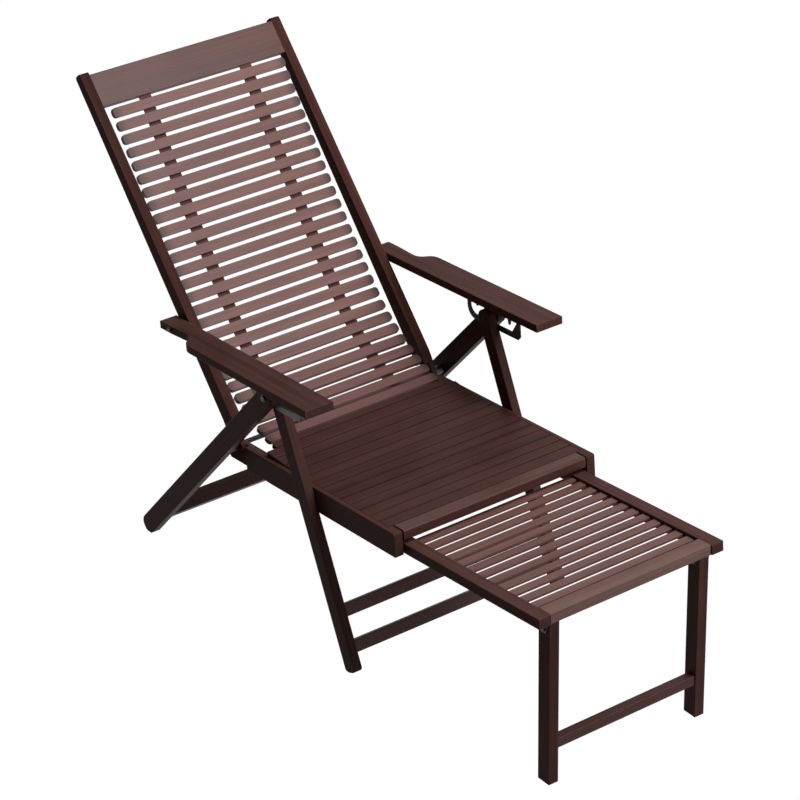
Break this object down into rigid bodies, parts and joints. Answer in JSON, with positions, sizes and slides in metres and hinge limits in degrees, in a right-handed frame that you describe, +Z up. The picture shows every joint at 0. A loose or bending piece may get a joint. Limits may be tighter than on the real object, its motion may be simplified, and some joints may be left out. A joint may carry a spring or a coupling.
{
  "type": "recliner",
  "caption": "Folding bamboo recliner with a slatted back and seat on one axle, armrests with notched steel racks and a slide-out slatted footrest on folding legs.",
  "frame": {"origin": "on the floor, at the middle of the overall outline seen from above", "axes": "X runs across the chair, the sitter's left toward +X; the foot end points toward -Y; +Z is up"},
  "size_m": [0.655, 1.5581, 1.0054],
  "materials": {
    "bamboo_frame": "satin stained bamboo",
    "bamboo_slats": "satin stained bamboo",
    "bamboo_armrest": "satin stained bamboo",
    "black_steel": "satin black",
    "webbing": "woven"
  },
  "bodies": {
    "rear_frame": {"rear_leg_left": "bamboo_frame", "rear_leg_right": "bamboo_frame", "rear_cross_bar": "bamboo_frame", "axle_rod": "black_steel", "axle_collars": "black_steel", "leg_top_bolts": "black_steel"},
    "front_frame": {"front_leg_left": "bamboo_frame", "front_leg_right": "bamboo_frame", "front_stretcher_upper": "bamboo_frame", "front_stretcher_lower": "bamboo_frame", "seat_pivot_bolts": "black_steel"},
    "seat": {"seat_rail_left": "bamboo_frame", "seat_rail_right": "bamboo_frame", "seat_front_board": "bamboo_frame", "seat_slats": "bamboo_slats", "seat_ledge_left": "bamboo_frame", "seat_ledge_right": "bamboo_frame", "seat_strap_left": "webbing", "seat_strap_right": "webbing", "footrest_runner_left": "bamboo_frame", "footrest_runner_right": "bamboo_frame"},
    "back": {"back_stile_left": "bamboo_frame", "back_stile_right": "bamboo_frame", "headrest_panel": "bamboo_frame", "back_slats": "bamboo_slats", "back_strap_left": "webbing", "back_strap_right": "webbing", "armrest_bolts": "black_steel"},
    "arm_left": {"armrest_left": "bamboo_armrest", "rack_left": "black_steel"},
    "arm_right": {"armrest_right": "bamboo_armrest", "rack_right": "black_steel"},
    "footrest": {"footrest_rail_left": "bamboo_frame", "footrest_rail_right": "bamboo_frame", "footrest_front_rail": "bamboo_frame", "footrest_slats": "bamboo_slats", "footrest_ledge_left": "bamboo_frame", "footrest_ledge_right": "bamboo_frame", "leg_brackets": "black_steel", "leg_pivot_bolts": "black_steel"},
    "footrest_legs": {"footrest_leg_left": "bamboo_frame", "footrest_leg_right": "bamboo_frame", "footrest_leg_bar": "bamboo_frame"}
  },
  "joints": [
    {"name": "back_recline", "type": "hinge", "parent": "rear_frame", "child": "back", "pos_m": [0, 0.202, 0.3455], "axis": [-1, 0, 0], "range_deg": [-12, 16]},
    {"name": "armrest_tilt_left", "type": "hinge", "parent": "back", "child": "arm_left", "pos_m": [0, 0.377, 0.5625], "axis": [-1, 0, 0], "range_deg": [-8.9, 6.67]},
    {"name": "armrest_tilt_right", "type": "hinge", "parent": "back", "child": "arm_right", "pos_m": [0, 0.377, 0.5625], "axis": [-1, 0, 0], "range_deg": [-8.9, 6.67]},
    {"name": "frame_fold", "type": "hinge", "parent": "rear_frame", "child": "front_frame", "pos_m": [0, 0.021, 0.5545], "axis": [1, 0, 0], "range_deg": [0, 58]},
    {"name": "seat_rise", "type": "hinge", "parent": "rear_frame", "child": "seat", "pos_m": [0, 0.202, 0.3455], "axis": [-1, 0, 0], "range_deg": [0, 45.01]},
    {"name": "footrest_slide", "type": "slide", "parent": "seat", "child": "footrest", "axis": [0, 0.9958, -0.092], "range_m": [0, 0.42]},
    {"name": "footrest_leg_fold", "type": "hinge", "parent": "footrest", "child": "footrest_legs", "pos_m": [0, -0.763, 0.36017], "axis": [1, 0, 0], "range_deg": [0, 84]}
  ],
  "couplings": [
    {"joint": "armrest_tilt_left", "follows": "back_recline", "ratio": -0.556},
    {"joint": "armrest_tilt_right", "follows": "back_recline", "ratio": -0.556},
    {"joint": "seat_rise", "follows": "frame_fold", "ratio": 0.776}
  ]
}
